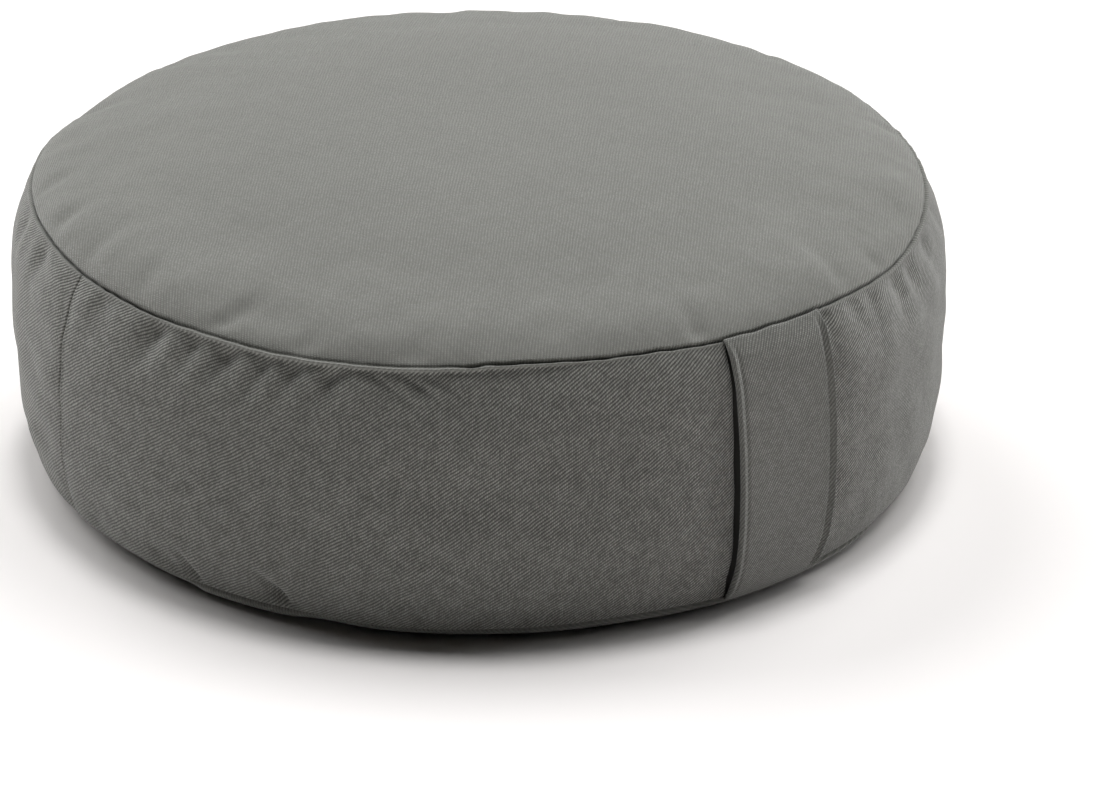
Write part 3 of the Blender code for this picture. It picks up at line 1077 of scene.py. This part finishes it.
TWILL_REPEAT = 3.0  # each warp end floats over two picks and dives under the third
FLOAT_SHARE = 0.74
WALE_CREST = 0.5 * FLOAT_SHARE - 0.5 / TWILL_REPEAT
DRIFT = 0.0009  # the threads wander by up to about half of this
DRIFT_SCALE = 160.0
WARP_ROUNDING = 0.6
FLOAT_ROUNDING = 0.5
WEFT_HEIGHT = 0.45
PATCH_SCALE = 180.0
PATCH_RANGE = (0.60, 1.25)
FLOAT_RANGE = (0.74, 1.20)
TWILL_RELIEF = 0.00030
BUMP_STRENGTH = 0.9
ROUGHNESS_RANGE = (0.98, 0.86)
CREST_SHARE = 1.03  # crests are lighter by this share of the contrast, to keep the mean colour
# How much darker the weave's valleys are painted: painted shade for the weave's relief, strongest on
# the band and strap
CROWN_CONTRAST = 0.22  # taut and evenly lit, so its valleys get little painted shade
BAND_CONTRAST = 0.85
STRAP_CONTRAST = 0.48
# The band's and strap's crests are lighter by less than the panels', darkening them overall: painted
# shade on the same cloth
BAND_SHADE_CREST = 0.88
STRAP_SHADE_CREST = 0.65  # its crests are lighter by still less, darkening the strap as painted shade
TWILL_COLOUR = (0.205, 0.207, 0.190)
STRAP_COLOUR = (0.198, 0.200, 0.184)
PAINTED_SHADE_COLOUR = (0.080, 0.080, 0.074, 1.0)  # painted shade: flat and darker than the twill, deep behind the strap's edge

# Uneven colour: streaks and slubs on the flat cloth, then wash and clouds through the whole object
MOTTLES = table(
    "stretch scale detail low high",
    ((1.0, 0.03, 1.0), 900.0, 2.0, 0.93, 1.07),
    ((0.03, 1.0, 1.0), 900.0, 2.0, 0.95, 1.05),
    (None, 45.0, 3.0, 0.96, 1.04),
    (None, 170.0, 3.0, 0.965, 1.035),
)
FLOOR_COLOUR = (0.955, 0.93, 0.92)
FLOOR_MOTTLE = (0.998, 1.002)
FLOOR_MOTTLE_SCALE = 3.0


class Nodes:
    """A short way to write a material's nodes: each call adds one and returns its first output."""

    def __init__(self, name):
        self.material = bpy.data.materials.new(name)
        self.material.use_nodes = True
        self.tree = self.material.node_tree
        self.tree.nodes.clear()

    def add(self, kind, *inputs, output=0, **settings):
        node = self.tree.nodes.new("ShaderNode" + kind)
        for key, value in settings.items():
            setattr(node, key, value)
        for number, value in enumerate(inputs):
            self.put(node.inputs[number], value)
        return node.outputs[output]

    def put(self, socket, value):
        if value is None:
            return
        if isinstance(value, bpy.types.NodeSocket):
            self.tree.links.new(value, socket)
        else:
            socket.default_value = value

    def math(self, operation, *inputs):
        return self.add("Math", *inputs, operation=operation)

    def times(self, *factors):
        return self.math("MULTIPLY", *factors)

    def over(self, value, divisor):
        return self.math("DIVIDE", value, divisor)

    def less(self, value, other):
        return self.math("SUBTRACT", value, other)

    def arch(self, share):
        """0 to 1 and back as the share runs from 0 to 1."""
        return self.math("SINE", self.times(share, math.pi))

    def vector(self, operation, *inputs):
        return self.add("VectorMath", *inputs, operation=operation)

    def noise(self, vector, scale, detail=2.0):
        """Noise from about 0 to 1 with waves about 1/scale long."""
        return self.add("TexNoise", vector, None, scale, detail, noise_dimensions="3D")

    def mix(self, share, low, high):
        """Numbers between low and high."""
        return self.add("MapRange", share, 0.0, 1.0, low, high)

    def object_place(self):
        return self.add("TexCoord", output=3)

    def tint(self, shade, colour):
        return self.add("CombineColor", *[self.times(shade, value) for value in colour])

    def finish(self, **inputs):
        """The material, with its shader's inputs."""
        node = self.tree.nodes.new("ShaderNodeBsdfPrincipled")
        for name, value in inputs.items():
            self.put(node.inputs[name.replace("_", " ")], value)
        output = self.tree.nodes.new("ShaderNodeOutputMaterial")
        self.tree.links.new(node.outputs[0], output.inputs["Surface"])
        return self.material


def make_twill(name, colour, contrast, crest=CREST_SHARE):
    """Diagonal wales of warp floats, worked out from the cloth's own flat coordinates in metres.

    The valleys between the threads are darker than the colour by the contrast, as a share: painted
    shade, standing in for the shading of the weave's relief.
    """
    n = Nodes(name)
    cloth = n.add("UVMap", uv_map="cloth")
    drift = n.add("TexNoise", cloth, None, DRIFT_SCALE, 2.0, output=1)
    drift = n.vector("SUBTRACT", drift, (0.5, 0.5, 0.5))
    split = n.add("SeparateXYZ", n.vector("ADD", cloth, n.vector("SCALE", drift, None, None, DRIFT)))
    end = n.over(split, WARP_PITCH)
    pick = n.over(split.node.outputs[1], WEFT_PITCH)
    end_number = n.math("FLOOR", end)
    repeats = n.over(n.less(pick, end_number), TWILL_REPEAT)
    float_rise = n.arch(n.math("MINIMUM", n.over(n.math("FRACT", repeats), FLOAT_SHARE), 1.0))
    warp_round = n.arch(n.math("FRACT", end))
    warp_round = n.math("POWER", warp_round, WARP_ROUNDING)
    warp = n.times(warp_round, n.math("POWER", float_rise, FLOAT_ROUNDING))
    weft = n.times(n.arch(n.math("FRACT", pick)), WEFT_HEIGHT)
    thread = n.math("MAXIMUM", warp, weft)
    across = n.less(n.over(n.less(pick, end), TWILL_REPEAT), WALE_CREST)
    wale = n.math("MULTIPLY_ADD", n.math("COSINE", n.times(across, 2.0 * math.pi)), 0.5, 0.5)
    place = n.add("CombineXYZ", end_number, n.math("FLOOR", repeats))
    each_float = n.add("TexWhiteNoise", place, noise_dimensions="3D")
    patches = n.mix(n.noise(cloth, PATCH_SCALE, 3.0), *PATCH_RANGE)
    uneven = n.times(patches, n.mix(each_float, *FLOAT_RANGE))
    relief = n.times(n.math("MULTIPLY_ADD", wale, 0.5, n.times(thread, 0.5)), uneven)
    # Painted shade: the colour darkens into the weave's valleys
    shade = n.mix(relief, 1.0 - contrast, 1.0 + crest * contrast)
    for mottle in MOTTLES:
        place = n.vector("MULTIPLY", cloth, mottle.stretch) if mottle.stretch else n.object_place()
        share = n.noise(place, mottle.scale, mottle.detail)
        shade = n.times(shade, n.mix(share, mottle.low, mottle.high))
    grain = n.add("Bump", BUMP_STRENGTH, TWILL_RELIEF)
    n.put(grain.node.inputs["Height"], relief)
    return n.finish(
        Base_Color=n.tint(shade, colour),
        Roughness=n.mix(relief, *ROUGHNESS_RANGE),
        Specular_IOR_Level=0.25,
        Sheen_Weight=0.4,
        Sheen_Roughness=0.4,
        Normal=grain,
    )


# Painted shade: one flat colour, darker than the twill, for the ditch behind the strap's edge
def make_painted_shade(name):
    return Nodes(name).finish(Base_Color=PAINTED_SHADE_COLOUR, Roughness=0.97, Specular_IOR_Level=0.1)


def make_floor():
    n = Nodes("floor")
    grain = n.mix(n.noise(n.object_place(), FLOOR_MOTTLE_SCALE, 2.0), *FLOOR_MOTTLE)
    material = n.finish(Base_Color=n.tint(grain, FLOOR_COLOUR), Roughness=1.0, Specular_IOR_Level=0.0)
    corners = ((-1, -1), (1, -1), (1, 1), (-1, 1))
    points = [(x * FLOOR_REACH, y * FLOOR_REACH, FLOOR_HEIGHT) for x, y in corners]
    mesh = bpy.data.meshes.new("floor")
    mesh.from_pydata(points, [], [(0, 1, 2, 3)])
    mesh.materials.append(material)
    floor = add_object("floor", mesh)


# ---- camera and light

PHOTO_WIDTH = 1105
PHOTO_HEIGHT = 800
FOCAL_PIXELS = 6000.0
SENSOR_WIDTH = 36.0
CAMERA_BEARING = -39.05
CAMERA_ELEVATION = 23.5
CAMERA_DISTANCE = 2.125
AIM_HEIGHT = 0.075
AIM_PIXEL = (479.0, 248.0)  # where the point at that height on the axis shows in the photograph
FLOOR_HEIGHT = -0.0002
FLOOR_REACH = 60.0  # far enough to fill low views too

SUNS = table(
    "name bearing elevation width strength",
    ("overhead", 141.0, 84.0, 12.0, 1.23),
    ("left softbox", -174.0, 38.0, 50.0, 2.24),
    ("right softbox", 96.0, 62.0, 40.0, 1.4),
    ("right backdrop", 81.0, 20.0, 50.0, 1.14),
)
SKY = 1.0  # seen past the floor from low down, but it lights nothing


def towards(bearing, elevation):
    """Unit vector from the axis towards a bearing and a height above the horizon."""
    level = math.radians(bearing)
    rise = math.radians(elevation)
    return Vector((math.sin(level) * math.cos(rise), -math.cos(level) * math.cos(rise), math.sin(rise)))


def make_camera():
    """A level camera that sees the aimed point on the photograph's pixel for it."""
    data = bpy.data.cameras.new("camera")
    data.sensor_width = SENSOR_WIDTH
    data.lens = FOCAL_PIXELS / PHOTO_WIDTH * SENSOR_WIDTH
    camera = add_object("camera", data)
    back = towards(CAMERA_BEARING, CAMERA_ELEVATION)
    camera.location = Vector((0.0, 0.0, AIM_HEIGHT)) + CAMERA_DISTANCE * back
    seen = Vector((AIM_PIXEL[0] - PHOTO_WIDTH / 2, PHOTO_HEIGHT / 2 - AIM_PIXEL[1], -FOCAL_PIXELS))
    seen.normalize()
    length = math.hypot(seen.y, seen.z)
    pitch = math.asin(-back.z / length) - math.atan2(seen.y, -seen.z)
    ahead = -seen.z * math.cos(pitch) - seen.y * math.sin(pitch)
    heading = math.radians(-CAMERA_BEARING) - math.atan2(seen.x, ahead)
    camera.rotation_euler = (math.pi / 2 + pitch, 0.0, -heading)
    bpy.context.scene.camera = camera


def make_lights():
    for sun in SUNS:
        data = bpy.data.lights.new(sun.name, "SUN")
        data.angle = math.radians(sun.width)
        data.energy = sun.strength
        turn = towards(sun.bearing, sun.elevation).to_track_quat("Z", "Y")
        add_object(sun.name, data).rotation_euler = turn.to_euler()
    world = bpy.data.worlds.new("studio")
    world.use_nodes = True
    background = world.node_tree.nodes["Background"]
    background.inputs["Color"].default_value = (1.0, 1.0, 1.0, 1.0)
    background.inputs["Strength"].default_value = SKY
    for rays in ("diffuse", "glossy", "transmission", "scatter"):
        setattr(world.cycles_visibility, rays, False)
    bpy.context.scene.world = world
    bpy.context.scene.view_settings.view_transform = "Standard"


# ---- the whole

make_camera()
make_lights()
make_floor()

panel_twill = make_twill("twill panels", TWILL_COLOUR, CROWN_CONTRAST)
# The band's twill is a darker, more contrasty copy of the panels' cloth: painted shade
band_twill = make_twill("twill band with painted shade", TWILL_COLOUR, BAND_CONTRAST, BAND_SHADE_CREST)
# The cover's third material is painted shade for the ditch behind the strap
cover = make_cover((panel_twill, band_twill, make_painted_shade("painted shade behind the strap")))
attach(cover, "root")
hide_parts("cushion")

strap = make_strap(make_twill("strap twill with painted shade", STRAP_COLOUR, STRAP_CONTRAST, STRAP_SHADE_CREST))
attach(strap, "root")
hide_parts("carry_strap")
